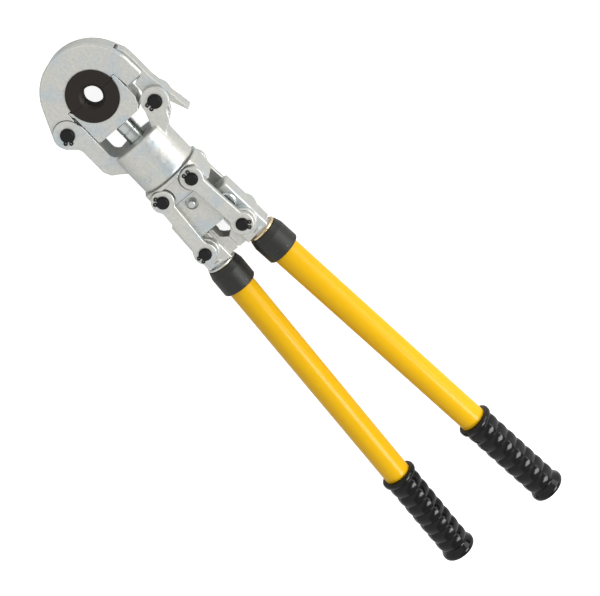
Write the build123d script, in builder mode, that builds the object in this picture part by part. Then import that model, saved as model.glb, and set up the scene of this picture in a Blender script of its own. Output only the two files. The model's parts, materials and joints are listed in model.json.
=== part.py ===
from build123d import *
import os
from math import atan2, cos, degrees, hypot, radians, sin, sqrt

# Hand press tool for pipe fittings, millimetres.
# The frame's origin is the centre of the press bore, +X runs to the handles, +Z is the bore's axis.
# The head is at the left, the toggle in the middle, and the two long handles are at the right.

# Dies and jaws
DIE_R = 22.1
DIE_HALF = 12.0
DIE_SPLIT = 0.1
LAND_R = 8.4
LAND_BACK = -1.3
LAND_FRONT = 9.6
MOUTH_R = 10.8
RECESS_R = 12.0
JAW_R = 43.0
JAW_HALF = 11.0
JAW_PIVOT = (10.3, -38.2)
LATCH_PIVOT = (35.6, 35.7)
LUG_X = -2.0
LUG_Y = 22.7
DOWEL_R = 2.0

# Head fork
EAR_HALF = 12.5
EAR_GAP = 6.8
LEFT_EAR_R = 12.2
RIGHT_EAR_R = 11.7
KNUCKLE_R = 11.9
KNUCKLE_HALF = 6.5
THROAT_X = 50.5
THROAT_LEFT_Y = -24.3
BARREL_R = 26.5
BARREL_END_X = 89.3
HEAD_PIN_R = 5.0
HEAD_PIN_HALF = 14.5
SWIVEL_PIN_X = 78.5
SWIVEL_PIN_Y = 11.0
SWIVEL_PIN_R = 2.5

# Ram
RAM_R = 8.0
RAM_TAIL_R = 5.0
RAM_FRONT_X = 33.0
RAM_STEP_X = 62.0
RAM_END_X = 130.0

# Base block
BLOCK_X0 = 89.5
BLOCK_X1 = 111.2
BLOCK_HALF_Y = 25.8
BLOCK_HALF_Z = 17.3
PAD_Z = 21.0
PAD_X1 = 108.5
FLANGE_R = 28.3
SPIGOT_R = 14.0
SPIGOT_X = 60.3

# Toggle, given for the right-hand side, Y above 0
BASE_PIVOT = (101.2, 16.1)
LINK_PIVOT = (158.2, 20.9)
LEVER_PIVOT = (138.0, 20.9)
LINK_Z0 = 17.5
LINK_Z1 = 23.5
LINK_END_R = 9.9
LINK_WAIST = 6.1
POCKET_R = 11.3
TOGGLE_PIN_R = 4.6
TOGGLE_PIN_HALF = 25.7
RUNNING = 0.05

# Retaining rings
LUG_R = 1.8
LUG_HOLE_R = 0.75
LUG_SPREAD = 2.35
RING_GAP = 1.6

# Crosshead
CROSS_X1 = 146.0
CROSS_PIN_X = 118.7
CROSS_PIN_R = 3.1
CROSS_HALF_Y = 6.0
CROSS_HALF_Z = 17.3
SHIELD_Z = 14.4
TONGUE_HALF = 5.9

# Levers and handles
LEVER_HALF = 11.0
LEVER_X0 = 125.0
LEVER_X1 = 176.6
HUB_R = 11.3
HUB_HOLE_R = 7.4
HANDLE_X = 174.0
HANDLE_Y = 22.8
HANDLE_SLOPE = 4.54
TUBE_R = 12.7
TUBE_BORE_R = 10.7
COLLAR_R = 16.15

# Stations along the handle, from the handle's origin
FERRULE_START = 3.6
TUBE_START = 5.8
COLLAR_START = 6.2
COLLAR_END = 31.2
GRIP_START = 269.4
TUBE_END = 370.4
GRIP_END = 374.6
RIB_PITCH = 12.38
RIB_COUNT = 7
RIB_R = 15.6
RIB_VALLEY_R = 14.2

os.makedirs("parts", exist_ok=True)


def save(builder, name):
    builder.part.label = name
    export_step(builder.part, "parts/" + name + ".step")


def polar(radius, angle, centre=(0, 0)):
    return (centre[0] + radius * cos(radians(angle)), centre[1] + radius * sin(radians(angle)))


def circlip_pair(centre, front_z, thickness, shaft_r, ring_r, gap_angle):
    """Two flat retaining rings, front and rear: open rings with two drilled lugs beside the gap."""
    lug_reach = ring_r + 0.8
    lug_turn = degrees(atan2(LUG_SPREAD, lug_reach))
    lugs = [polar(lug_reach, gap_angle + side * lug_turn) for side in (-1, 1)]
    with BuildPart() as rings:
        for z0 in (front_z, -front_z - thickness):
            with BuildSketch(Plane(origin=(centre[0], centre[1], z0))):
                Circle(ring_r)
                with Locations(*lugs):
                    Circle(LUG_R)
                Circle(shaft_r, mode=Mode.SUBTRACT)
                with Locations(Location((0, 0, 0), (0, 0, gap_angle))):
                    with Locations((ring_r, 0)):
                        Rectangle(2 * ring_r, RING_GAP, mode=Mode.SUBTRACT)
                with Locations(*lugs):
                    Circle(LUG_HOLE_R, mode=Mode.SUBTRACT)
            extrude(amount=thickness)
    return rings


def jaw_outline_line():
    """Straight tangent from the rim to the hinge knuckle, as its two end points."""
    knuckle = 13.0
    distance = hypot(*JAW_PIVOT)
    towards = degrees(atan2(JAW_PIVOT[1], JAW_PIVOT[0]))
    swing = degrees(atan2(sqrt(distance**2 - (JAW_R - knuckle) ** 2), JAW_R - knuckle))
    return polar(JAW_R, towards - swing), polar(knuckle, towards - swing, JAW_PIVOT)


# Press dies: two halves of a ring with the press contour in the bore
def die_profile():
    return [
        (DIE_R, -DIE_HALF), (DIE_R, DIE_HALF), (MOUTH_R, DIE_HALF), (LAND_R, LAND_FRONT),
        (LAND_R, 7.6), (LAND_R + 0.35, 7.2), (LAND_R, 6.8), (LAND_R, LAND_BACK),
        (RECESS_R, LAND_BACK), (RECESS_R, -DIE_HALF),
    ]


for side, name in ((-1, "upper_die"), (1, "lower_die")):
    with BuildPart() as die:
        with BuildSketch(Plane.XZ):
            Polygon(*die_profile(), align=None)
        revolve(axis=Axis.Z)
        with Locations((-side * DIE_R, 0, 0)):
            Box(2 * DIE_R + 2 * DIE_SPLIT, 3 * DIE_R, 4 * DIE_HALF, mode=Mode.SUBTRACT)
        with BuildSketch(Plane.YZ.offset(side * 18.5)):
            Circle(DOWEL_R)
        extrude(amount=side * 6, mode=Mode.SUBTRACT)
    save(die, name)

# Dowels that key the dies to the jaws
for side, name in ((-1, "upper_die_dowel"), (1, "lower_die_dowel")):
    with BuildPart() as dowel:
        with BuildSketch(Plane.YZ.offset(side * 18.5)):
            Circle(DOWEL_R)
        extrude(amount=side * 5.2)
    save(dowel, name)

# Upper jaw: a C-shaped forging that swings on its knuckle
tangent_start, tangent_end = jaw_outline_line()
with BuildPart() as upper_jaw:
    with BuildSketch(Plane.XY.offset(-JAW_HALF)) as blank:
        Circle(JAW_R)
        Polygon((0, 0), tangent_start, tangent_end, JAW_PIVOT, align=None)
        with Locations(JAW_PIVOT):
            Circle(13.0)
        Polygon((0, 0), (0, JAW_R), (13.1, 44.0), (13.1, 20.0), align=None)
        with Locations((JAW_R + 13.1, 30)):
            Rectangle(2 * JAW_R, 60, mode=Mode.SUBTRACT)
        fillet(blank.vertices().sort_by_distance((13.1, 44.0))[0], 3.4)
    extrude(amount=2 * JAW_HALF)
    rims = upper_jaw.faces().filter_by(Axis.Z).edges()
    chamfer(rims.filter_by(lambda e: (e @ 0.5).X < 12.9 and hypot((e @ 0.5).X, (e @ 0.5).Y) > 42.0), 1.4)
    # Room for the lower jaw, its lugs and the lower die
    with BuildSketch(Plane.XY.offset(-2 * JAW_HALF)):
        Polygon(
            (-DIE_SPLIT, -18), (-2.6, -19), (-2.6, -25.4), (1.0, -25.8), (5.2, -26.1), (60, -26.1),
            (60, 28.6), (13.1, 27.7), (1.6, 26.5), (-2.5, 25.6), (-2.5, 18), (-DIE_SPLIT, 18),
            align=None,
        )
    extrude(amount=4 * JAW_HALF, mode=Mode.SUBTRACT)
    with BuildSketch(Plane.XY.offset(-2 * JAW_HALF)):
        Circle(DIE_R)
    extrude(amount=4 * JAW_HALF, mode=Mode.SUBTRACT)
    # Shoulders that run round the fork's ears
    for z0 in (KNUCKLE_HALF, -2 * JAW_HALF - KNUCKLE_HALF):
        with BuildSketch(Plane.XY.offset(z0)):
            with Locations(JAW_PIVOT):
                Circle(LEFT_EAR_R + 0.4)
            Polygon((10.3, -38.2), (5.2, -27.1), (5.2, -20), (60, -20), (60, -60), (10.3, -60), align=None)
        extrude(amount=2 * JAW_HALF, mode=Mode.SUBTRACT)
    with BuildSketch(Plane.XY.offset(-JAW_HALF)):
        Polygon((10.3, -20), (60, -20), (60, -60), (6.0, -60), (6.0, -51.5), (10.3, -51.2), align=None)
        with Locations(JAW_PIVOT):
            Circle(KNUCKLE_R, mode=Mode.SUBTRACT)
    extrude(amount=2 * JAW_HALF, mode=Mode.SUBTRACT)
    with Locations((JAW_PIVOT[0], JAW_PIVOT[1], 0)):
        Hole(HEAD_PIN_R + RUNNING, 4 * JAW_HALF)
    # Slot and catch for the latch in the free end
    with BuildSketch(Plane.XY.offset(-EAR_GAP)):
        Polygon(
            (20, 39.1), (-3.2, 39.1), (-14.9, 32.6), (-16.9, 35.2), (-19, 50), (20, 50), align=None,
        )
    extrude(amount=2 * EAR_GAP, mode=Mode.SUBTRACT)
    with BuildSketch(Plane.YZ.offset(-18.5)):
        Circle(DOWEL_R)
    extrude(amount=-5.2, mode=Mode.SUBTRACT)
save(upper_jaw, "upper_jaw")

# Lower jaw: slides in the fork and carries the ram's round head in a slot open to the rear
with BuildPart() as lower_jaw:
    with BuildSketch(Plane.XY.offset(-JAW_HALF)) as outline:
        Polygon(
            (DIE_SPLIT, -18), (DIE_SPLIT, -LUG_Y), (LUG_X, -23.9), (LUG_X, -24.8), (1.0, -25.1), (4.0, -23.7),
            (32.5, -23.7), (32.5, 20.0), (31.3, 20.9), (28.2, 23.9), (26.0, 24.4), (22.6, 26.0),
            (1.5, 26.0), (LUG_X, 25.1), (LUG_X, LUG_Y), (DIE_SPLIT, LUG_Y), (DIE_SPLIT, 18),
            align=None,
        )
        fillet(outline.vertices().sort_by_distance((32.5, -23.7))[0], 2.6)
        fillet(outline.vertices().sort_by_distance((LUG_X, 25.1))[0], 1.0)
        Circle(DIE_R, mode=Mode.SUBTRACT)
    extrude(amount=2 * JAW_HALF)
    with BuildSketch(Plane.YZ.offset(24.1)):
        Circle(9.3)
        with Locations((0, -6)):
            Rectangle(18.6, 12)
    extrude(amount=4.6, mode=Mode.SUBTRACT)
    with BuildSketch(Plane.YZ.offset(28.7)):
        Circle(5.8)
        with Locations((0, -6)):
            Rectangle(11.6, 12)
    extrude(amount=6, mode=Mode.SUBTRACT)
    with BuildSketch(Plane.YZ.offset(18.5)):
        Circle(DOWEL_R)
    extrude(amount=5.2, mode=Mode.SUBTRACT)
save(lower_jaw, "lower_jaw")

# Fork of the head: barrel, two arms and two pairs of ears
with BuildPart() as fork:
    with BuildSketch(Plane.XY):
        Polygon(
            (THROAT_X, 0), (THROAT_X, BARREL_R - 1.5), (THROAT_X + 1.5, BARREL_R),
            (BARREL_END_X - 2.0, BARREL_R), (BARREL_END_X, BARREL_R - 1.2), (BARREL_END_X, 0),
            align=None,
        )
    revolve(axis=Axis.X)
    with BuildSketch(Plane.XY.offset(-EAR_HALF)) as arms:
        Polygon(
            (10.3, -38.2), (9.0, -26.1), (12.5, THROAT_LEFT_Y), (THROAT_X, THROAT_LEFT_Y), (60, -20),
            (67, -23.0), (62.8, -28.6), (58.7, -35.2), (52.4, -38.4), (26.0, -38.6), (18.6, -47.2),
            align=None,
        )
        with Locations(JAW_PIVOT):
            Circle(LEFT_EAR_R)
        Polygon(
            LATCH_PIVOT, (26.6, 28.3), (40.3, 22.4), (THROAT_X, 18.6), (70, 14), (67, 20.4),
            (59.6, 26.3), (53.7, 34.7), (46.9, 38.4),
            align=None,
        )
        with Locations(LATCH_PIVOT):
            Circle(RIGHT_EAR_R)
        for corner, radius in (((52.4, -38.4), 5), ((58.7, -35.2), 5), ((26.0, -38.6), 7), ((53.7, 34.7), 3)):
            fillet(arms.vertices().sort_by_distance(corner)[0], radius)
        Polygon((THROAT_X, THROAT_LEFT_Y), (THROAT_X, 18.6), (60, 15), (60, -22), align=None)
        fillet(arms.vertices().sort_by_distance((THROAT_X, THROAT_LEFT_Y))[0], 7)
    extrude(amount=2 * EAR_HALF)
    # Slots between the ears
    with BuildSketch(Plane.XY.offset(-EAR_GAP)):
        with Locations(JAW_PIVOT):
            Circle(LEFT_EAR_R + 0.4)
        with Locations(LATCH_PIVOT):
            Circle(14.5)
        Polygon(LATCH_PIVOT, (57, 40), (56.5, 32.0), align=None)
    extrude(amount=2 * EAR_GAP, mode=Mode.SUBTRACT)
    for pivot in (JAW_PIVOT, LATCH_PIVOT):
        with Locations((pivot[0], pivot[1], 0)):
            Hole(HEAD_PIN_R, 4 * EAR_HALF)
    # Guide bore of the ram and the cavity of the swivel
    with BuildSketch(Plane.YZ.offset(THROAT_X - 5)):
        Circle(RAM_R + RUNNING)
    extrude(amount=20, mode=Mode.SUBTRACT)
    with BuildSketch(Plane.YZ.offset(60.0)):
        Circle(SPIGOT_R + RUNNING)
    extrude(amount=40, mode=Mode.SUBTRACT)
    with BuildSketch(Plane.YZ.offset(THROAT_X)):
        Circle(RAM_R + 1.8)
    extrude(amount=1.6, mode=Mode.SUBTRACT)
    for side in (-1, 1):
        with BuildSketch(Plane.XY.offset(side * 20.0)):
            with Locations((SWIVEL_PIN_X, side * SWIVEL_PIN_Y)):
                Circle(SWIVEL_PIN_R)
        extrude(amount=-side * 60, mode=Mode.SUBTRACT)
save(fork, "fork")

# Two dowels in the barrel run in the spigot's groove and let the head swivel
with BuildPart() as swivel_pins:
    for side in (-1, 1):
        with BuildSketch(Plane.XY.offset(side * 20.0)):
            with Locations((SWIVEL_PIN_X, side * SWIVEL_PIN_Y)):
                Circle(SWIVEL_PIN_R)
        extrude(amount=-side * 43.0)
save(swivel_pins, "swivel_pins")

# Hinge pins of the jaw and the latch, each held by two circlips
for name, pivot, gap_angle in (("jaw", JAW_PIVOT, -38), ("latch", LATCH_PIVOT, -84)):
    with BuildPart() as pin:
        with Locations((pivot[0], pivot[1], 0)):
            Cylinder(HEAD_PIN_R, 2 * HEAD_PIN_HALF)
        chamfer(pin.faces().filter_by(Axis.Z).edges(), 0.5)
        for side in (-1, 1):
            with Locations((pivot[0], pivot[1], side * (EAR_HALF + 0.7))):
                Cylinder(HEAD_PIN_R + 1, 1.2, mode=Mode.SUBTRACT)
                Cylinder(HEAD_PIN_R - 0.4, 1.2)
    save(pin, name + "_pin")
    clips = circlip_pair(pivot, EAR_HALF + 0.1, 1.2, HEAD_PIN_R - 0.4, 6.1, gap_angle)
    save(clips, name + "_pin_circlips")

# Latch: hub between the ears, neck past the jaw's end, hooked nose and finger tab
with BuildPart() as latch:
    with BuildSketch(Plane.XY.offset(-KNUCKLE_HALF)) as latch_outline:
        Polygon(
            (15.6, 32.0), (27.0, 31.4), (35.6, 30.0), (44.0, 42.2), (45.4, 43.6), (60.5, 49.9),
            (58.5, 51.5), (18.9, 45.3), (0, 44.9), (-10.0, 43.9), (-14.6, 41.7), (-16.2, 35.6),
            (-14.5, 33.1), (-3.0, 39.5), (13.9, 39.5), (14.0, 35.0),
            align=None,
        )
        with Locations(LATCH_PIVOT):
            Circle(11.0)
        fillet(latch_outline.vertices().sort_by_distance((60.5, 49.9))[0], 0.9)
    extrude(amount=2 * KNUCKLE_HALF)
    with BuildSketch(Plane.XY.offset(-8.0)):
        Polygon((45.2, 49.4), (58.5, 51.5), (59.1, 50.4), (45.4, 48.0), align=None)
    extrude(amount=16.0)
    with Locations((LATCH_PIVOT[0], LATCH_PIVOT[1], 0)):
        Hole(HEAD_PIN_R + RUNNING, 40)
save(latch, "latch")

# Ram: round head in the lower jaw, thick guide, thin tail held in the crosshead
with BuildPart() as ram_rod:
    with BuildSketch(Plane.XY):
        Polygon(
            (24.4, 0), (24.4, 9.0), (28.4, 9.0), (28.4, 5.5), (RAM_FRONT_X, 5.5), (RAM_FRONT_X, RAM_R - 0.5),
            (RAM_FRONT_X + 0.5, RAM_R), (40.6, RAM_R), (41.0, RAM_R - 0.4), (41.8, RAM_R - 0.4),
            (42.2, RAM_R), (RAM_STEP_X, RAM_R), (RAM_STEP_X, RAM_TAIL_R), (RAM_END_X, RAM_TAIL_R),
            (RAM_END_X, 0),
            align=None,
        )
    revolve(axis=Axis.X)
    with Locations((CROSS_PIN_X, 0, 0)):
        Hole(CROSS_PIN_R, 40)
save(ram_rod, "ram_rod")

# Base block: flange, grooved spigot and a block that carries the links' fixed pins
with BuildPart() as base_block:
    with BuildSketch(Plane.YZ.offset(BLOCK_X0)):
        RectangleRounded(2 * BLOCK_HALF_Y, 2 * PAD_Z, 7.0)
    extrude(amount=BLOCK_X1 - BLOCK_X0)
    with BuildSketch(Plane.YZ.offset(BLOCK_X0)):
        Circle(FLANGE_R)
    extrude(amount=3.2)
    chamfer(base_block.edges().filter_by(GeomType.CIRCLE).filter_by(lambda e: e.radius > 28), 0.6)
    # Front and back pads are stepped down towards the handles and pocketed round the links
    for face in (1, -1):
        with BuildSketch(Plane.XY.offset(face * BLOCK_HALF_Z)):
            with Locations((PAD_X1 + 10, 0)):
                Rectangle(20, 80)
            for side in (-1, 1):
                with Locations((BASE_PIVOT[0], side * BASE_PIVOT[1])):
                    Circle(POCKET_R)
                for swing in (0, 12, 24):
                    lean = degrees(atan2(LINK_PIVOT[1] - BASE_PIVOT[1], LINK_PIVOT[0] - BASE_PIVOT[0]))
                    with Locations(Location((BASE_PIVOT[0], side * BASE_PIVOT[1], 0), (0, 0, side * (lean + swing)))):
                        with Locations((15, 0)):
                            Rectangle(30, 2 * LINK_WAIST + 1.2)
        extrude(amount=face * 10, mode=Mode.SUBTRACT)
    with BuildSketch(Plane.XY):
        Polygon(
            (BLOCK_X0 + 1, 0), (BLOCK_X0 + 1, SPIGOT_R), (81.2, SPIGOT_R), (81.2, 8.4), (75.8, 8.4),
            (75.8, SPIGOT_R), (SPIGOT_X + 0.8, SPIGOT_R), (SPIGOT_X, SPIGOT_R - 0.8), (SPIGOT_X, 0),
            align=None,
        )
    revolve(axis=Axis.X)
    with BuildSketch(Plane.YZ.offset(SPIGOT_X - 1)):
        Circle(RAM_TAIL_R + RUNNING)
    extrude(amount=80, mode=Mode.SUBTRACT)
    with BuildSketch(Plane.YZ.offset(SPIGOT_X - 1)):
        Circle(RAM_R + 0.3)
    extrude(amount=9.7, mode=Mode.SUBTRACT)
    for side in (-1, 1):
        with Locations((BASE_PIVOT[0], side * BASE_PIVOT[1], 0)):
            Hole(TOGGLE_PIN_R, 60)
save(base_block, "base_block")

# Crosshead: slides behind the block, carries the ram's tail and both lever pins
with BuildPart() as crosshead:
    column_x0 = BLOCK_X1 + 0.3
    with BuildSketch(Plane.XY.offset(-CROSS_HALF_Z)):
        with Locations((CROSS_PIN_X, 0)):
            Circle(CROSS_PIN_X - column_x0)
        with Locations(((CROSS_PIN_X + CROSS_X1) / 2, 0)):
            Rectangle(CROSS_X1 - CROSS_PIN_X, 2 * CROSS_HALF_Y)
    extrude(amount=2 * CROSS_HALF_Z)
    for z0 in (SHIELD_Z, -CROSS_HALF_Z):
        with BuildSketch(Plane.XY.offset(z0)):
            Polygon(
                (column_x0, -11.2), (CROSS_PIN_X, -12.0), (CROSS_X1, -16.4),
                (CROSS_X1, 16.4), (CROSS_PIN_X, 12.0), (column_x0, 11.2),
                align=None,
            )
        extrude(amount=CROSS_HALF_Z - SHIELD_Z)
    with BuildSketch(Plane.XY.offset(-TONGUE_HALF)):
        with Locations((LEVER_PIVOT[0], 0)):
            Rectangle(10, 2 * LEVER_PIVOT[1])
        for side in (-1, 1):
            with Locations((LEVER_PIVOT[0], side * LEVER_PIVOT[1])):
                Circle(7.0)
    extrude(amount=2 * TONGUE_HALF)
    for side in (-1, 1):
        with Locations((LEVER_PIVOT[0], side * LEVER_PIVOT[1], 0)):
            Hole(4.5, 40)
    with Locations((CROSS_PIN_X, 0, CROSS_HALF_Z)):
        CounterBoreHole(CROSS_PIN_R, 5.6, 3.6, 60)
    with Locations(Location((CROSS_PIN_X, 0, -CROSS_HALF_Z), (180, 0, 0))):
        CounterBoreHole(CROSS_PIN_R, 5.6, 3.6, 60)
    with BuildSketch(Plane.YZ.offset(column_x0 - 3)):
        Circle(RAM_TAIL_R)
    extrude(amount=RAM_END_X - column_x0 + 3, mode=Mode.SUBTRACT)
save(crosshead, "crosshead")

with BuildPart() as cross_pin:
    with Locations((CROSS_PIN_X, 0, 0)):
        Cylinder(CROSS_PIN_R, 43.0)
    chamfer(cross_pin.faces().filter_by(Axis.Z).edges(), 0.5)
save(cross_pin, "cross_pin")

# Lever pins: shanks in the tongues with broad heads over the levers' cheeks
for side, name in ((-1, "left_lever_pin"), (1, "right_lever_pin")):
    with BuildPart() as lever_pin:
        with Locations((LEVER_PIVOT[0], side * LEVER_PIVOT[1], 0)):
            Cylinder(4.5, 2 * LEVER_HALF + 0.4)
            for end in (-1, 1):
                with Locations((0, 0, end * (LEVER_HALF + 1.55))):
                    Cylinder(8.3, 2.8)
        chamfer(lever_pin.faces().sort_by(Axis.Z)[-1].edges() + lever_pin.faces().sort_by(Axis.Z)[0].edges(), 1.2)
    save(lever_pin, name)

# Toggle links: four flat plates with round eyes
link_span = hypot(LINK_PIVOT[0] - BASE_PIVOT[0], LINK_PIVOT[1] - BASE_PIVOT[1])
link_lean = degrees(atan2(LINK_PIVOT[1] - BASE_PIVOT[1], LINK_PIVOT[0] - BASE_PIVOT[0]))
for side, side_name in ((-1, "left"), (1, "right")):
    for z0, face_name in ((LINK_Z0, "front"), (-LINK_Z1, "rear")):
        with BuildPart() as link:
            with BuildSketch(Plane.XY.offset(z0)) as link_outline:
                with Locations(Location((BASE_PIVOT[0], side * BASE_PIVOT[1], 0), (0, 0, side * link_lean))):
                    Circle(LINK_END_R)
                    with Locations((link_span, 0)):
                        Circle(LINK_END_R)
                    with Locations((link_span / 2, 0)):
                        Rectangle(link_span, 2 * LINK_WAIST)
                waist_corners = link_outline.vertices()
                fillet(waist_corners, 6.0)
            extrude(amount=LINK_Z1 - LINK_Z0)
            chamfer(link.faces().filter_by(Axis.Z).edges(), 0.5)
            with Locations((BASE_PIVOT[0], side * BASE_PIVOT[1], 0)):
                Hole(TOGGLE_PIN_R + RUNNING, 60)
            with Locations((LINK_PIVOT[0], side * LINK_PIVOT[1], 0)):
                Hole(TOGGLE_PIN_R, 60)
        save(link, side_name + "_" + face_name + "_link")

# Toggle pins and their circlips, turned as they lie in the photograph
for side, side_name, pivot, kind, gap_angle in (
    (-1, "left", BASE_PIVOT, "base", -137), (1, "right", BASE_PIVOT, "base", 186),
    (-1, "left", LINK_PIVOT, "link", -76), (1, "right", LINK_PIVOT, "link", 48),
):
    centre = (pivot[0], side * pivot[1])
    with BuildPart() as toggle_pin:
        with Locations((centre[0], centre[1], 0)):
            Cylinder(TOGGLE_PIN_R, 2 * TOGGLE_PIN_HALF)
        chamfer(toggle_pin.faces().filter_by(Axis.Z).edges(), 0.5)
        for end in (-1, 1):
            with Locations((centre[0], centre[1], end * (LINK_Z1 + 0.6))):
                Cylinder(TOGGLE_PIN_R + 1, 1.0, mode=Mode.SUBTRACT)
                Cylinder(TOGGLE_PIN_R - 0.4, 1.0)
    save(toggle_pin, side_name + "_" + kind + "_pin")
    clips = circlip_pair(centre, LINK_Z1 + 0.1, 1.0, TOGGLE_PIN_R - 0.4, 5.6, gap_angle)
    save(clips, side_name + "_" + kind + "_circlips")

# Levers, drawn on the right-hand side and mirrored
handle = Plane(
    origin=(HANDLE_X, HANDLE_Y, 0),
    x_dir=(cos(radians(HANDLE_SLOPE)), sin(radians(HANDLE_SLOPE)), 0),
    z_dir=(0, 0, 1),
)
handle_axis = Axis(handle.origin, handle.x_dir)
with BuildPart() as right_lever:
    with BuildSketch(Plane.XY.offset(-LEVER_HALF)) as cheek:
        Polygon(
            (LEVER_X0, 14.0), (LEVER_X0, 30.7), (LEVER_X1 - 0.6, 33.4), (LEVER_X1 + 1.3, 9.6), (149.5, 9.6),
            (145.5, 12.5), (132, 12.5),
            align=None,
        )
        with Locations(LEVER_PIVOT):
            Circle(10.4)
        fillet(cheek.vertices().sort_by_distance((LEVER_X0, 14.0))[0], 3.0)
        fillet(cheek.vertices().sort_by_distance((LEVER_X0, 30.7))[0], 2.0)
        fillet(cheek.vertices().sort_by_distance((LEVER_X1, 33.4))[0], 2.0)
    extrude(amount=2 * LEVER_HALF)
    chamfer(right_lever.faces().filter_by(Axis.Z).edges(), 0.8)
    # Stop lobe that meets the other lever's when the tool is closed
    with BuildSketch(Plane.XY.offset(-7.0)) as lobe:
        Polygon(
            (LEVER_X1 - 0.4, 0.2), (163.6, 0.2), (160.6, 4.6), (158.0, 6.4), (149.5, 6.6), (148.0, 12),
            (150, 16), (LEVER_X1 - 0.4, 22),
            align=None,
        )
        fillet(lobe.vertices().sort_by_distance((LEVER_X1 - 0.4, 0.2))[0], 2.0)
    extrude(amount=14.0)
    with BuildSketch(Plane.XY.offset(-BLOCK_HALF_Z)):
        with Locations(LINK_PIVOT):
            Circle(HUB_R)
    extrude(amount=2 * BLOCK_HALF_Z)
    chamfer(
        right_lever.faces().filter_by(Axis.Z).group_by(Axis.Z)[-1].edges()
        + right_lever.faces().filter_by(Axis.Z).group_by(Axis.Z)[0].edges(),
        0.6,
    )
    # Slot for the crosshead's tongue, wide enough for the whole swing
    with BuildSketch(Plane.XY.offset(-TONGUE_HALF - 0.3)):
        with Locations(LEVER_PIVOT):
            Circle(7.4)
        for turn in (0, 15, 30, 45, 60):
            with Locations(Location((LEVER_PIVOT[0], LEVER_PIVOT[1], 0), (0, 0, -turn))):
                with Locations((0, -9)):
                    Rectangle(10.8, 18)
    extrude(amount=2 * TONGUE_HALF + 0.6, mode=Mode.SUBTRACT)
    with Locations((LEVER_PIVOT[0], LEVER_PIVOT[1], 0)):
        Hole(4.5 + RUNNING, 60)
    with Locations((LINK_PIVOT[0], LINK_PIVOT[1], 0)):
        Hole(HUB_HOLE_R, 60)
    # Round shank that the handle tube is driven over
    with BuildSketch(handle):
        Polygon((-3, 0), (-3, 10.0), (0, 12.4), (0.2, TUBE_BORE_R), (61, TUBE_BORE_R), (62, 9.7), (62, 0), align=None)
    revolve(axis=handle_axis)
save(right_lever, "right_lever")


def mirrored(piece, name):
    with BuildPart() as twin:
        mirror(piece.part, about=Plane.XZ)
    save(twin, name)


mirrored(right_lever, "left_lever")


def revolved(points):
    with BuildPart() as piece:
        with BuildSketch(handle):
            Polygon(*points, align=None)
        revolve(axis=handle_axis)
    return piece


# Washer ring between the lever and the tube
right_ferrule = revolved([
    (FERRULE_START, TUBE_BORE_R), (FERRULE_START, 13.2), (FERRULE_START + 0.5, 13.8), (TUBE_START - 0.5, 13.8),
    (TUBE_START, 13.2), (TUBE_START, TUBE_BORE_R),
])
# Rubber collar that covers the tube's mouth
right_collar = revolved([
    (COLLAR_START, TUBE_R), (COLLAR_START, 14.4), (COLLAR_START + 5.3, COLLAR_R - 0.3),
    (COLLAR_START + 6.5, COLLAR_R), (COLLAR_END - 1.0, COLLAR_R), (COLLAR_END, COLLAR_R - 0.8), (COLLAR_END, TUBE_R),
])
# Steel tube handle
right_tube = revolved([(TUBE_START, TUBE_BORE_R), (TUBE_START, TUBE_R), (TUBE_END, TUBE_R), (TUBE_END, TUBE_BORE_R)])

# Ribbed grip, closed at its end
rib_start = GRIP_START + 7.5
with BuildPart() as right_grip:
    with BuildSketch(handle):
        with BuildLine():
            start = Polyline((GRIP_START, TUBE_R), (GRIP_START, 15.6), (GRIP_START + 1.4, 17.0))
            lip = Polyline(start @ 1, (GRIP_START + 4.4, 17.0), (GRIP_START + 6.0, 15.6), (rib_start, RIB_VALLEY_R))
            last = lip @ 1
            for rib in range(RIB_COUNT):
                x0 = rib_start + rib * RIB_PITCH
                ridge = ThreePointArc(
                    (x0, RIB_VALLEY_R), (x0 + RIB_PITCH / 2, RIB_R), (x0 + RIB_PITCH, RIB_VALLEY_R),
                )
                last = ridge @ 1
            Polyline(
                last, (GRIP_END - 8.4, 15.4), (GRIP_END - 6.4, 16.8), (GRIP_END - 3.0, 16.8), (GRIP_END - 0.8, 14.6),
                (GRIP_END, 10.0), (GRIP_END, 0), (TUBE_END, 0), (TUBE_END, TUBE_R), (GRIP_START, TUBE_R),
            )
        make_face()
    revolve(axis=handle_axis)

for piece, name in (
    (right_ferrule, "ferrule"), (right_collar, "collar"), (right_tube, "handle_tube"), (right_grip, "grip"),
):
    save(piece, "right_" + name)
    mirrored(piece, "left_" + name)
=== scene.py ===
"""A manual pipe press tool with long yellow handles, lying on a white table."""
import json
import math

import bpy
from mathutils import Matrix, Vector


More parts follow.
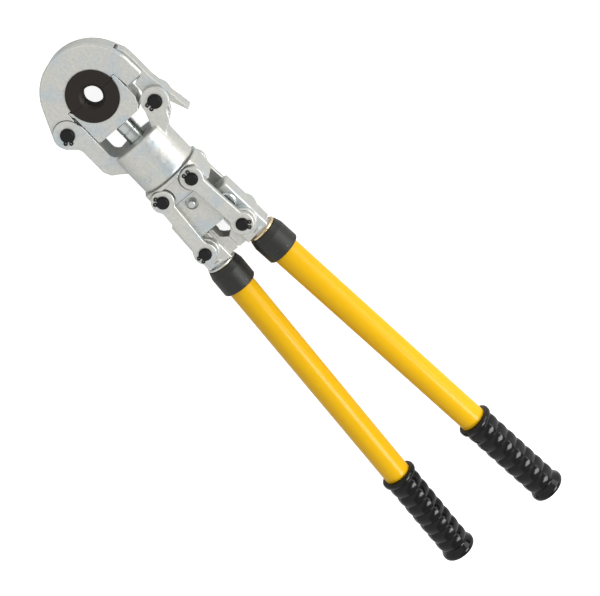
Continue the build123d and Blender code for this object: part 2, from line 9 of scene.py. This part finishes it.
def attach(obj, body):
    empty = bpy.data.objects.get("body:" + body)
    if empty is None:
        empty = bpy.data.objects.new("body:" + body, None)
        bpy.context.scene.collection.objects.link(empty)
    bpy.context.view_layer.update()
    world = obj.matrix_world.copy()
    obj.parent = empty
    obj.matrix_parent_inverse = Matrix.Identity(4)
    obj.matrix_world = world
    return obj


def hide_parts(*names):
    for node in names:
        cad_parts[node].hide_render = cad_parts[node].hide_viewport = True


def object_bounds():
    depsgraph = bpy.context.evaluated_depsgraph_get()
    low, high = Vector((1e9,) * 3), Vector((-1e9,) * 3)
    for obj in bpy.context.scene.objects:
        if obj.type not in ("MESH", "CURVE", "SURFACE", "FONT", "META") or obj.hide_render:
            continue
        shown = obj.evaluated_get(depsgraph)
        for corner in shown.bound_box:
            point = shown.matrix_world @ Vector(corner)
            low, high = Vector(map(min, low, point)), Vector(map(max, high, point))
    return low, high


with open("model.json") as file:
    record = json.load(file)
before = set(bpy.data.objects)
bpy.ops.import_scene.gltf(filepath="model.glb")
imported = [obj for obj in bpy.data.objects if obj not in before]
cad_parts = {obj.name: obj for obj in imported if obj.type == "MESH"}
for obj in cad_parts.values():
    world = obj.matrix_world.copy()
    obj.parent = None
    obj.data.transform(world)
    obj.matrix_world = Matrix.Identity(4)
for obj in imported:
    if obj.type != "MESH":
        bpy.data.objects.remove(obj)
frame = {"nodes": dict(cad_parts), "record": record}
cad_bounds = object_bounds()
cad = frame["nodes"]
MM = 0.001
TURNED_COSINE = 0.86


class Graph:
    """Short words for building the nodes of one material."""

    def __init__(self, name):
        self.material = bpy.data.materials.new(name)
        self.material.use_nodes = True
        self.tree = self.material.node_tree
        self.shader = self.tree.nodes["Principled BSDF"]
        self.where = self.tree.nodes.new("ShaderNodeTexCoord").outputs["Object"]

    def connect(self, socket, value):
        if isinstance(value, bpy.types.NodeSocket):
            self.tree.links.new(value, socket)
        elif isinstance(value, tuple) and len(value) == 3 and socket.type == "RGBA":
            socket.default_value = (*value, 1)
        else:
            socket.default_value = value

    def set(self, **inputs):
        """Sets the shader's inputs. An underscore stands for the space in an input's name."""
        for word, value in inputs.items():
            self.connect(self.shader.inputs[word.replace("_", " ")], value)

    def stretched(self, x, y, z):
        """Object coordinates scaled along each axis, so a small number draws the grain out."""
        mapping = self.tree.nodes.new("ShaderNodeMapping")
        mapping.inputs["Scale"].default_value = (x, y, z)
        self.tree.links.new(self.where, mapping.inputs["Vector"])
        return mapping.outputs["Vector"]

    def noise(self, grain_mm, detail=2.0, where=None):
        """Cloudy values, with features about grain_mm wide."""
        noise = self.tree.nodes.new("ShaderNodeTexNoise")
        noise.inputs["Scale"].default_value = 1 / (grain_mm * MM)
        noise.inputs["Detail"].default_value = detail
        self.tree.links.new(where or self.where, noise.inputs["Vector"])
        return noise.outputs["Fac"]

    def specks(self, spacing_mm):
        """Distance to scattered points about spacing_mm apart."""
        cells = self.tree.nodes.new("ShaderNodeTexVoronoi")
        cells.inputs["Scale"].default_value = 1 / (spacing_mm * MM)
        self.tree.links.new(self.where, cells.inputs["Vector"])
        return cells.outputs["Distance"]

    def spread(self, value, low, high, to_low=0.0, to_high=1.0):
        """Maps low..high to to_low..to_high."""
        remap = self.tree.nodes.new("ShaderNodeMapRange")
        self.tree.links.new(value, remap.inputs["Value"])
        remap.inputs["From Min"].default_value = low
        remap.inputs["From Max"].default_value = high
        remap.inputs["To Min"].default_value = to_low
        remap.inputs["To Max"].default_value = to_high
        return remap.outputs["Result"]

    def patches(self, grain_mm, detail, low, high):
        """Values from low to high that change in cloudy patches."""
        return self.spread(self.noise(grain_mm, detail), 0.3, 0.7, low, high)

    def mix(self, factor, first, second):
        """A colour between first and second. The node's colours are its inputs 6 and 7 and its output 2."""
        mix = self.tree.nodes.new("ShaderNodeMix")
        mix.data_type = "RGBA"
        self.connect(mix.inputs["Factor"], factor)
        self.connect(mix.inputs[6], first)
        self.connect(mix.inputs[7], second)
        return mix.outputs[2]

    def bump(self, height, depth_mm, normal=None):
        bump = self.tree.nodes.new("ShaderNodeBump")
        bump.inputs["Distance"].default_value = depth_mm * MM
        self.tree.links.new(height, bump.inputs["Height"])
        if normal is not None:
            self.tree.links.new(normal, bump.inputs["Normal"])
        return bump.outputs["Normal"]

    def soft_edges(self, radius_mm):
        """The normal, turned round every edge as if it were filed."""
        bevel = self.tree.nodes.new("ShaderNodeBevel")
        bevel.samples = 6
        bevel.inputs["Radius"].default_value = radius_mm * MM
        return bevel.outputs["Normal"]

    def near_edge(self, rounded):
        """0 on the flats, rising to 1 where the rounded normal is turned by 30 degrees or more."""
        true_normal = self.tree.nodes.new("ShaderNodeNewGeometry").outputs["Normal"]
        agree = self.tree.nodes.new("ShaderNodeVectorMath")
        agree.operation = "DOT_PRODUCT"
        self.tree.links.new(rounded, agree.inputs[0])
        self.tree.links.new(true_normal, agree.inputs[1])
        return self.spread(agree.outputs["Value"], 1.0, TURNED_COSINE)


# Metals

WARM_ZINC = (0.60, 0.595, 0.555)
BLUE_ZINC = (0.50, 0.555, 0.585)
DULL_ZINC = (0.40, 0.41, 0.385)
# Painted edge highlight: its near-white colour, the width of its band and how much metal sheen it takes away.
PAINTED_EDGE_HIGHLIGHT = (0.93, 0.94, 0.92)
EDGE_HIGHLIGHT_BAND_MM = 0.9
ZINC_METALLIC = 0.75
METALLIC_LOST_AT_EDGE_HIGHLIGHT = 0.6


def zinc_plate(name, grain_mm, grain_depth_mm, edge_mm, edge_highlight_strength, wave_mm=0.22):
    """Zinc plate, warm grey with blue clouds and a painted highlight along the edges, over a blasted or
    ground surface.

    edge_mm is the radius that the shading gives every edge, and the argument after it, from 0 to 1, is how
    strong the painted edge highlight gets.
    """
    graph = Graph(name)
    rounded = graph.soft_edges(edge_mm)
    clouds = graph.spread(graph.noise(17, 3), 0.48, 0.70)
    colour = graph.mix(clouds, WARM_ZINC, BLUE_ZINC)
    dulled = graph.spread(graph.noise(2.2, 4), 0.38, 0.72, 0, 0.45)
    colour = graph.mix(dulled, colour, DULL_ZINC)
    # Painted highlight: the edges are lightened towards a near-white colour and made less metallic, standing
    # in for light caught on the rounded edges.
    edge_highlight_mask = graph.near_edge(graph.soft_edges(EDGE_HIGHLIGHT_BAND_MM))
    colour = graph.mix(graph.spread(edge_highlight_mask, 0, 1, 0, edge_highlight_strength), colour, PAINTED_EDGE_HIGHLIGHT)
    metallic = graph.spread(edge_highlight_mask, 0, 1, ZINC_METALLIC, ZINC_METALLIC - METALLIC_LOST_AT_EDGE_HIGHLIGHT * edge_highlight_strength)
    waves = graph.bump(graph.noise(9, 2), wave_mm, rounded)
    graph.set(
        Base_Color=colour, Metallic=metallic, Roughness=graph.patches(3.5, 4, 0.30, 0.44),
        Normal=graph.bump(graph.noise(grain_mm, 3), grain_depth_mm, waves),
    )
    return graph.material


def gold_plate():
    """Yellow-passivated zinc on a thin ring."""
    graph = Graph("gold_washer")
    colour = graph.mix(graph.noise(3, 3), (0.78, 0.64, 0.40), (0.66, 0.55, 0.36))
    graph.set(
        Base_Color=colour, Metallic=1.0, Roughness=graph.patches(1.5, 3, 0.18, 0.3),
        Normal=graph.bump(graph.noise(0.8, 2), 0.02, graph.soft_edges(0.2)),
    )
    return graph.material


def turned_steel():
    """Plated rod, with fine rings left by turning."""
    graph = Graph("ram_steel")
    rings = graph.noise(0.35, 1, graph.stretched(1, 0.05, 0.05))
    colour = graph.mix(graph.noise(4, 3), (0.60, 0.62, 0.60), (0.45, 0.50, 0.50))
    graph.set(
        Base_Color=colour, Metallic=1.0, Roughness=graph.patches(2, 3, 0.2, 0.32),
        Normal=graph.bump(rings, 0.02, graph.soft_edges(0.25)),
    )
    return graph.material


def oxide_die():
    """Brown-black oxide over a face ground in one direction."""
    graph = Graph("oxide_die")
    grinding = graph.noise(0.5, 3, graph.stretched(0.12, 1, 1))
    colour = graph.mix(graph.noise(5, 4), (0.022, 0.016, 0.013), (0.014, 0.011, 0.010))
    colour = graph.mix(graph.spread(grinding, 0.62, 0.8, 0, 0.5), colour, (0.045, 0.036, 0.032))
    ground = graph.bump(grinding, 0.025, graph.soft_edges(0.3))
    graph.set(
        Base_Color=colour, Metallic=0.1, Specular_IOR_Level=0.25, Roughness=graph.patches(2, 3, 0.46, 0.62),
        Normal=graph.bump(graph.noise(1.2, 3), 0.03, ground),
    )
    return graph.material


def black_pin():
    """Black oxide with a trace of oil, rubbed slightly brown."""
    graph = Graph("black_pin")
    colour = graph.mix(graph.noise(1.6, 4), (0.004, 0.004, 0.004), (0.010, 0.009, 0.009))
    graph.set(
        Base_Color=colour, Specular_IOR_Level=0.22, Roughness=graph.patches(1.2, 3, 0.3, 0.5),
        Normal=graph.bump(graph.noise(0.6, 3), 0.03, graph.soft_edges(0.25)),
    )
    return graph.material


# Paint, rubber and plastic

def yellow_enamel():
    """Glossy enamel with faint orange peel."""
    graph = Graph("yellow_enamel")
    colour = graph.mix(graph.noise(14, 3), (0.64, 0.355, 0.001), (0.68, 0.385, 0.002))
    graph.set(
        Base_Color=colour, Coat_Weight=0.14, Coat_Roughness=0.12, Specular_IOR_Level=0.1,
        Roughness=graph.patches(2.5, 3, 0.26, 0.36), Normal=graph.bump(graph.noise(1.4, 2), 0.012),
    )
    return graph.material


def collar_rubber():
    """Satin dark rubber with fine grain, scuffs and a few pale dust specks."""
    graph = Graph("collar_rubber")
    colour = graph.mix(graph.noise(6, 4), (0.009, 0.0095, 0.008), (0.019, 0.020, 0.017))
    dust = graph.spread(graph.specks(5.5), 0.05, 0.09, 0.6, 0)
    colour = graph.mix(dust, colour, (0.30, 0.30, 0.28))
    uneven = graph.bump(graph.noise(3.5, 3), 0.10, graph.soft_edges(0.5))
    graph.set(
        Base_Color=colour, Specular_IOR_Level=0.36, Roughness=graph.patches(1.6, 4, 0.36, 0.52),
        Normal=graph.bump(graph.noise(0.5, 2), 0.02, uneven),
    )
    return graph.material


def grip_vinyl():
    """Glossy black soft plastic, a little duller in patches."""
    graph = Graph("grip_vinyl")
    colour = graph.mix(graph.noise(10, 3), (0.003, 0.003, 0.003), (0.006, 0.006, 0.006))
    graph.set(
        Base_Color=colour, Specular_IOR_Level=0.24, Normal=graph.bump(graph.noise(2.5, 2), 0.02),
        Roughness=graph.spread(graph.noise(8, 4), 0.35, 0.65, 0.12, 0.20),
    )
    return graph.material


forged_zinc = zinc_plate("zinc_forged", grain_mm=0.9, grain_depth_mm=0.06, edge_mm=0.9, edge_highlight_strength=0.9)
cast_zinc = zinc_plate("zinc_cast", grain_mm=0.9, grain_depth_mm=0.06, edge_mm=2.2, edge_highlight_strength=0.7, wave_mm=0.4)
machined_zinc = zinc_plate("zinc_machined", grain_mm=0.6, grain_depth_mm=0.03, edge_mm=0.5, edge_highlight_strength=0.3)
finishes = {
    "zinc_plated_steel": machined_zinc,
    "oxide_die": oxide_die(),
    "black_pin": black_pin(),
    "ram_steel": turned_steel(),
    "yellow_enamel": yellow_enamel(),
    "collar_rubber": collar_rubber(),
    "grip_vinyl": grip_vinyl(),
    "gold_washer": gold_plate(),
}
rough_zinc = {"fork": cast_zinc}
for node in ("upper_jaw", "lower_jaw", "latch", "left_lever", "right_lever"):
    rough_zinc[node] = forged_zinc

for subpart in frame["record"]["subparts"]:
    finish = rough_zinc.get(subpart["node"], finishes[subpart["material_slot"]])
    for slot in cad[subpart["node"]].material_slots:
        slot.material = finish


# Ribbed grips, whose ribs have eight flats round them. Stations are in millimetres from the handle's foot.

HANDLE_FOOT = Vector((174.0, 22.8, 0)) * MM
HANDLE_SLOPE = math.radians(4.54)
GRIP_START = 269.4
GRIP_END = 374.6
RIB_START = 276.9
RIB_PITCH = 12.38
RIB_COUNT = 7
RIB_R = 15.7
VALLEY_R = 13.6
LIP = [(0, 12.85), (0, 15.6), (0.4, 16.4), (1.4, 16.95), (3.2, 17.0), (4.6, 16.7), (5.6, 15.9), (6.6, 14.5)]
END_BEAD = [
    (-9.8, 14.9), (-8.6, 15.1), (-7.4, 15.9), (-6.2, 16.6),
    (-4.4, 16.8), (-2.6, 16.5), (-1.4, 15.6), (-0.6, 14.0),
]
END_CAP = [(-0.2, 11.5), (0, 8.0), (0, 0.01)]
RIB_LEAN = 0.85
RIB_FULLNESS = 0.62
STEPS_PER_RIB = 22
SIDES = 160
FLATS = 8
FLATNESS = 0.35


def grip_profile():
    """Stations along the handle, each with its radius and how much of the flats it takes."""
    rows = [(GRIP_START + station, radius, 0) for station, radius in LIP]
    for step in range(STEPS_PER_RIB * RIB_COUNT + 1):
        phase = step / STEPS_PER_RIB % 1
        swell = math.sin(math.pi * phase ** RIB_LEAN) ** RIB_FULLNESS
        station = RIB_START + RIB_PITCH * step / STEPS_PER_RIB
        rows.append((station, VALLEY_R + (RIB_R - VALLEY_R) * swell, 1))
    return rows + [(GRIP_END + station, radius, 0) for station, radius in END_BEAD + END_CAP]


def flat_share(angle):
    """The radius of an eight-sided bar at that angle, as a share of its corners' radius."""
    half = math.pi / FLATS
    return math.cos(half) / math.cos(angle % (2 * half) - half)


def make_grip(name, side):
    """One grip, open only where the tube enters. side is 1 for the right handle and -1 for the left."""
    direction = Vector((math.cos(HANDLE_SLOPE), side * math.sin(HANDLE_SLOPE), 0))
    across = Vector((-side * math.sin(HANDLE_SLOPE), math.cos(HANDLE_SLOPE), 0))
    up = Vector((0, 0, 1))
    foot = Vector((HANDLE_FOOT.x, side * HANDLE_FOOT.y, 0))
    rows = grip_profile()
    points = []
    for station, radius, flats in rows:
        for column in range(SIDES):
            angle = 2 * math.pi * column / SIDES
            share = 1 - flats * FLATNESS * (1 - flat_share(angle))
            arm = (up * math.cos(angle) + across * math.sin(angle)) * radius * share
            points.append(foot + (direction * station + arm) * MM)
    faces = []
    for row in range(len(rows) - 1):
        for column in range(SIDES):
            beside = (column + 1) % SIDES
            first = row * SIDES
            faces.append((first + column, first + SIDES + column, first + SIDES + beside, first + beside))
    mesh = bpy.data.meshes.new(name)
    mesh.from_pydata(points, [], faces)
    mesh.validate()
    mesh.shade_smooth()
    grip = bpy.data.objects.new(name, mesh)
    bpy.context.collection.objects.link(grip)
    mesh.materials.append(finishes["grip_vinyl"])
    return grip


for word, side in (("right", 1), ("left", -1)):
    grip = make_grip(word + "_ribbed_grip", side)
    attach(grip, word + "_handle")
    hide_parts(word + "_grip")


# Table

TABLE_SIZE = 6.0
TABLE_GAP = 0.0002
TABLE_GLOW = 0.78


def add_table():
    """A white table top. It looks white to the camera and still takes the tool's shadow."""
    table_z = cad_bounds[0][2] - TABLE_GAP
    half = TABLE_SIZE / 2
    mesh = bpy.data.meshes.new("table_top")
    corners = [(-half, -half, table_z), (half, -half, table_z), (half, half, table_z), (-half, half, table_z)]
    mesh.from_pydata(corners, [], [(0, 1, 2, 3)])
    table = bpy.data.objects.new("table_top", mesh)
    bpy.context.collection.objects.link(table)
    graph = Graph("table_white")
    white = graph.mix(graph.noise(120, 3), (0.82, 0.82, 0.82), (0.80, 0.80, 0.80))
    rays = graph.tree.nodes.new("ShaderNodeLightPath")
    glow = graph.tree.nodes.new("ShaderNodeMath")
    glow.operation = "MULTIPLY"
    graph.connect(glow.inputs[0], rays.outputs["Is Camera Ray"])
    graph.connect(glow.inputs[1], TABLE_GLOW)
    graph.set(
        Base_Color=white, Roughness=0.9, Specular_IOR_Level=0.1,
        Emission_Color=(1, 1, 1), Emission_Strength=glow.outputs["Value"],
    )
    mesh.materials.append(graph.material)


add_table()


# Light

ROOM_COLOUR = (0.99, 0.995, 0.96, 1)
ROOM_STRENGTH = 0.53
MATTE_SHARE = 0.5
DIM_TOWARDS = (0.66, 0.75, 0.0)
DIM_FROM = 0.05
DIM_TO = 0.40
DIM_SIDE = 0.45


def larger(tree, first, second):
    """The larger of a socket's value and of another socket's value or a number."""
    node = tree.nodes.new("ShaderNodeMath")
    node.operation = "MAXIMUM"
    tree.links.new(first, node.inputs[0])
    if isinstance(second, bpy.types.NodeSocket):
        tree.links.new(second, node.inputs[1])
    else:
        node.inputs[1].default_value = second
    return node.outputs["Value"]


def add_world():
    """Surroundings that the camera sees white and shiny parts mirror dimmer on the side of the lamps.

    Matte parts take MATTE_SHARE of their light from those, and the rest from an even, duller room.
    """
    world = bpy.data.worlds.new("room")
    bpy.context.scene.world = world
    world.use_nodes = True
    tree = world.node_tree
    room = tree.nodes["Background"]
    room.inputs["Color"].default_value = ROOM_COLOUR
    room.inputs["Strength"].default_value = ROOM_STRENGTH
    seen = tree.nodes.new("ShaderNodeBackground")
    seen.inputs["Color"].default_value = (1, 1, 1, 1)
    rays = tree.nodes.new("ShaderNodeLightPath")
    direction = tree.nodes.new("ShaderNodeTexCoord").outputs["Generated"]
    sideways = tree.nodes.new("ShaderNodeVectorMath")
    sideways.operation = "DOT_PRODUCT"
    sideways.inputs[1].default_value = DIM_TOWARDS
    tree.links.new(direction, sideways.inputs[0])
    dimming = tree.nodes.new("ShaderNodeMapRange")
    dimming.inputs["From Min"].default_value = DIM_FROM
    dimming.inputs["From Max"].default_value = DIM_TO
    dimming.inputs["To Min"].default_value = 1.0
    dimming.inputs["To Max"].default_value = DIM_SIDE
    tree.links.new(sideways.outputs["Value"], dimming.inputs["Value"])
    brightness = larger(tree, dimming.outputs["Result"], rays.outputs["Is Camera Ray"])
    tree.links.new(brightness, seen.inputs["Strength"])
    shown = MATTE_SHARE
    for kind in ("Is Camera Ray", "Is Glossy Ray", "Is Transmission Ray"):
        shown = larger(tree, rays.outputs[kind], shown)
    mix = tree.nodes.new("ShaderNodeMixShader")
    tree.links.new(shown, mix.inputs["Fac"])
    tree.links.new(room.outputs["Background"], mix.inputs[1])
    tree.links.new(seen.outputs["Background"], mix.inputs[2])
    tree.links.new(mix.outputs["Shader"], tree.nodes["World Output"].inputs["Surface"])


def add_softbox(name, place, aim, width, height, power):
    """A rectangular lamp at place, facing aim. Lengths are in metres, and the power is in watts."""
    lamp = bpy.data.lights.new(name, "AREA")
    lamp.shape = "RECTANGLE"
    lamp.size = width
    lamp.size_y = height
    lamp.energy = power
    holder = bpy.data.objects.new(name, lamp)
    bpy.context.collection.objects.link(holder)
    holder.location = place
    holder.rotation_euler = (Vector(aim) - Vector(place)).to_track_quat("-Z", "Y").to_euler()


TOOL_MIDDLE = (0.25, 0, 0)
BETWEEN_GRIPS = (0.45, 0, 0)
add_world()
add_softbox("side", place=(0.35, 1.0, 0.36), aim=TOOL_MIDDLE, width=0.9, height=0.62, power=6.4)
add_softbox("window", place=(1.05, 0.80, 0.80), aim=BETWEEN_GRIPS, width=0.55, height=0.52, power=12.5)


# Camera, on the photograph's viewing angle

SENSOR_MM = 36.0
IMAGE_WIDTH_PX = 600
FOCAL_PX = 1404.33
CAMERA_AT = Vector((-140.2, 352.2, 1102.8)) * MM
CAMERA_RIGHT = Vector((0.65598528, 0.75475027, -0.00594517))
CAMERA_UP = Vector((-0.68403753, 0.59115966, -0.42734403))


def add_camera():
    """The camera that was fitted to the photograph."""
    data = bpy.data.cameras.new("photo_camera")
    data.sensor_width = SENSOR_MM
    data.sensor_fit = "HORIZONTAL"
    data.lens = FOCAL_PX * SENSOR_MM / IMAGE_WIDTH_PX
    camera = bpy.data.objects.new("photo_camera", data)
    bpy.context.collection.objects.link(camera)
    back = CAMERA_RIGHT.cross(CAMERA_UP)
    turn = Matrix((CAMERA_RIGHT, CAMERA_UP, back)).transposed()
    camera.matrix_world = Matrix.Translation(CAMERA_AT) @ turn.to_4x4()
    bpy.context.scene.camera = camera


add_camera()
bpy.context.scene.view_settings.view_transform = "Standard"
